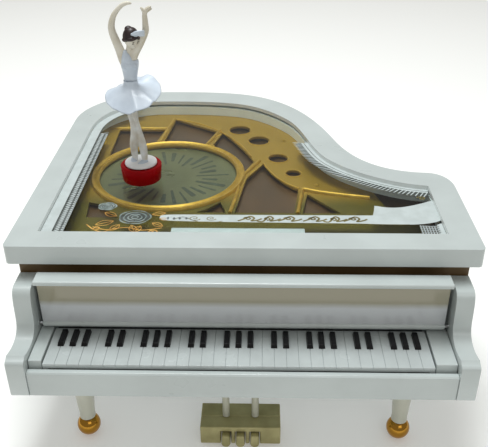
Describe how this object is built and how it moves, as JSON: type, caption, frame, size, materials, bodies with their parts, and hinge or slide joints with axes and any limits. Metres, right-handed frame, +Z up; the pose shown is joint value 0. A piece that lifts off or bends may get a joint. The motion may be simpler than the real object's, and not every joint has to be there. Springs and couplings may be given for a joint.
{
  "type": "piano-shaped musical automaton with dancing figure",
  "caption": "White grand-piano music box on ball feet, glazed lid over a gilt harp plate, folding fallboard, wind-up movement and a dancer carried round the glass by a magnet.",
  "frame": {"origin": "on the floor under the middle of the bounding box", "axes": "+Z up, keyboard and front legs towards -Y, bass side (straight side) towards -X"},
  "size_m": [0.19, 0.2042, 0.1637],
  "materials": {
    "white_plastic": "glossy",
    "black_plastic": "glossy",
    "gold_plastic": "metallised plastic, satin",
    "soundboard": "satin",
    "disc_print": "printed, satin",
    "brass": "satin",
    "steel": "plain",
    "magnet": "dull",
    "glass": "clear",
    "red_plastic": "glossy",
    "figure_skin": "satin",
    "figure_white": "satin"
  },
  "bodies": {
    "case": {"base_plate": "white_plastic", "base_screw_1": "steel", "base_screw_2": "steel", "base_screw_3": "steel", "base_screw_4": "steel", "base_screw_5": "steel", "black_keys": "black_plastic", "case_shell": "white_plastic", "comb": "steel", "comb_screw_1": "steel", "comb_screw_2": "steel", "front_cover_block": "white_plastic", "front_left_ball_foot": "gold_plastic", "front_left_leg": "white_plastic", "front_right_ball_foot": "gold_plastic", "front_right_leg": "white_plastic", "glass_pane": "glass", "glass_retainer": "white_plastic", "gold_plate": "gold_plastic", "governor_bracket": "brass", "key_slip": "white_plastic", "keybed": "white_plastic", "left_cheek": "white_plastic", "left_hinge_pin": "steel", "left_key_block": "white_plastic", "left_lyre_post": "white_plastic", "left_pedal": "gold_plastic", "lid_frame": "white_plastic", "middle_pedal": "gold_plastic", "movement_bedplate": "brass", "pedal_box": "gold_plastic", "plate_screw_1": "gold_plastic", "plate_screw_2": "gold_plastic", "right_cheek": "white_plastic", "right_hinge_pin": "steel", "right_key_block": "white_plastic", "right_lyre_post": "white_plastic", "right_pedal": "gold_plastic", "soundboard": "soundboard", "sunburst_disc": "disc_print", "tail_ball_foot": "gold_plastic", "tail_leg": "white_plastic", "white_keys": "white_plastic"},
    "fallboard": {"fallboard": "white_plastic"},
    "drive": {"spring_barrel": "brass", "magnet_arm": "white_plastic", "arm_magnet": "magnet"},
    "cylinder": {"music_cylinder": "brass"},
    "governor": {"governor_worm": "steel"},
    "winding": {"winding_arbor": "steel", "winding_key": "steel"},
    "figure_magnet": {"base_magnet": "magnet"},
    "figure": {"figure_base": "red_plastic", "foot_disc": "white_plastic", "figure_legs": "figure_skin", "tutu": "figure_white", "figure_body": "figure_white", "figure_head": "figure_skin"}
  },
  "joints": [
    {"name": "fallboard_fold", "type": "hinge", "parent": "case", "child": "fallboard", "pos_m": [0, -0.0769, 0.0495], "axis": [1, 0, 0], "range_deg": [0, 88]},
    {"name": "drive_turn", "type": "hinge", "parent": "case", "child": "drive", "pos_m": [-0.0386, 0.0082, 0], "axis": [0, 0, 1], "continuous": true},
    {"name": "cylinder_turn", "type": "hinge", "parent": "case", "child": "cylinder", "pos_m": [-0.0386, 0.0082, 0.055], "axis": [1, 0, 0], "continuous": true},
    {"name": "governor_turn", "type": "hinge", "parent": "case", "child": "governor", "pos_m": [0.0029, 0.0177, 0.04], "axis": [0, 0, 1], "continuous": true},
    {"name": "key_wind", "type": "hinge", "parent": "case", "child": "winding", "pos_m": [-0.0386, 0.0082, 0.022], "axis": [0, 0, -1], "continuous": true},
    {"name": "figure_lift", "type": "slide", "parent": "drive", "child": "figure_magnet", "axis": [0, 0, 1], "range_m": [0, 0.04]},
    {"name": "figure_turn", "type": "hinge", "parent": "figure_magnet", "child": "figure", "pos_m": [-0.0486, -0.009, 0.082], "axis": [0, 0, 1], "continuous": true}
  ],
  "couplings": [
    {"joint": "cylinder_turn", "follows": "drive_turn", "ratio": 4},
    {"joint": "governor_turn", "follows": "drive_turn", "ratio": 120}
  ]
}
